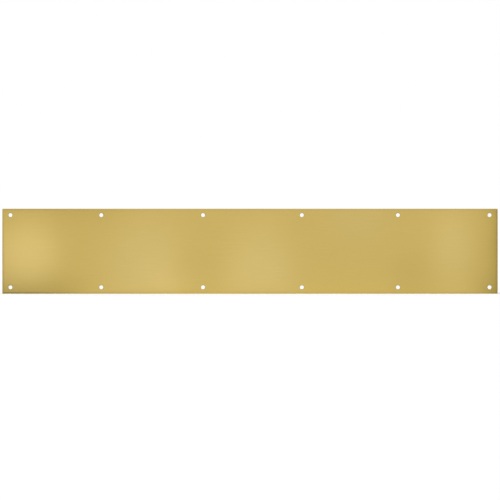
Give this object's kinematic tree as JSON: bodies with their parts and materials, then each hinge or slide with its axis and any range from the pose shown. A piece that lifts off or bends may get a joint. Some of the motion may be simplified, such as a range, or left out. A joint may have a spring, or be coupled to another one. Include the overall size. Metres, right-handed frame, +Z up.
{
  "type": "kick plate",
  "caption": "Long flat rectangular brass kick plate with bevelled edges and countersunk screw holes along its top and bottom edges, protects the foot of a door.",
  "frame": {"origin": "centre of the back face, which lies on the door", "axes": "as the plate hangs on the door: X along its length, +Z up, and +Y out of the back face into the door, so the show face looks along -Y"},
  "size_m": [0.889, 0.0013, 0.1524],
  "materials": {
    "satin_brass": "satin, with a fine brushed grain along the plate's length, under clear lacquer"
  },
  "bodies": {
    "root": {"kick_plate": "satin_brass"}
  },
  "joints": []
}
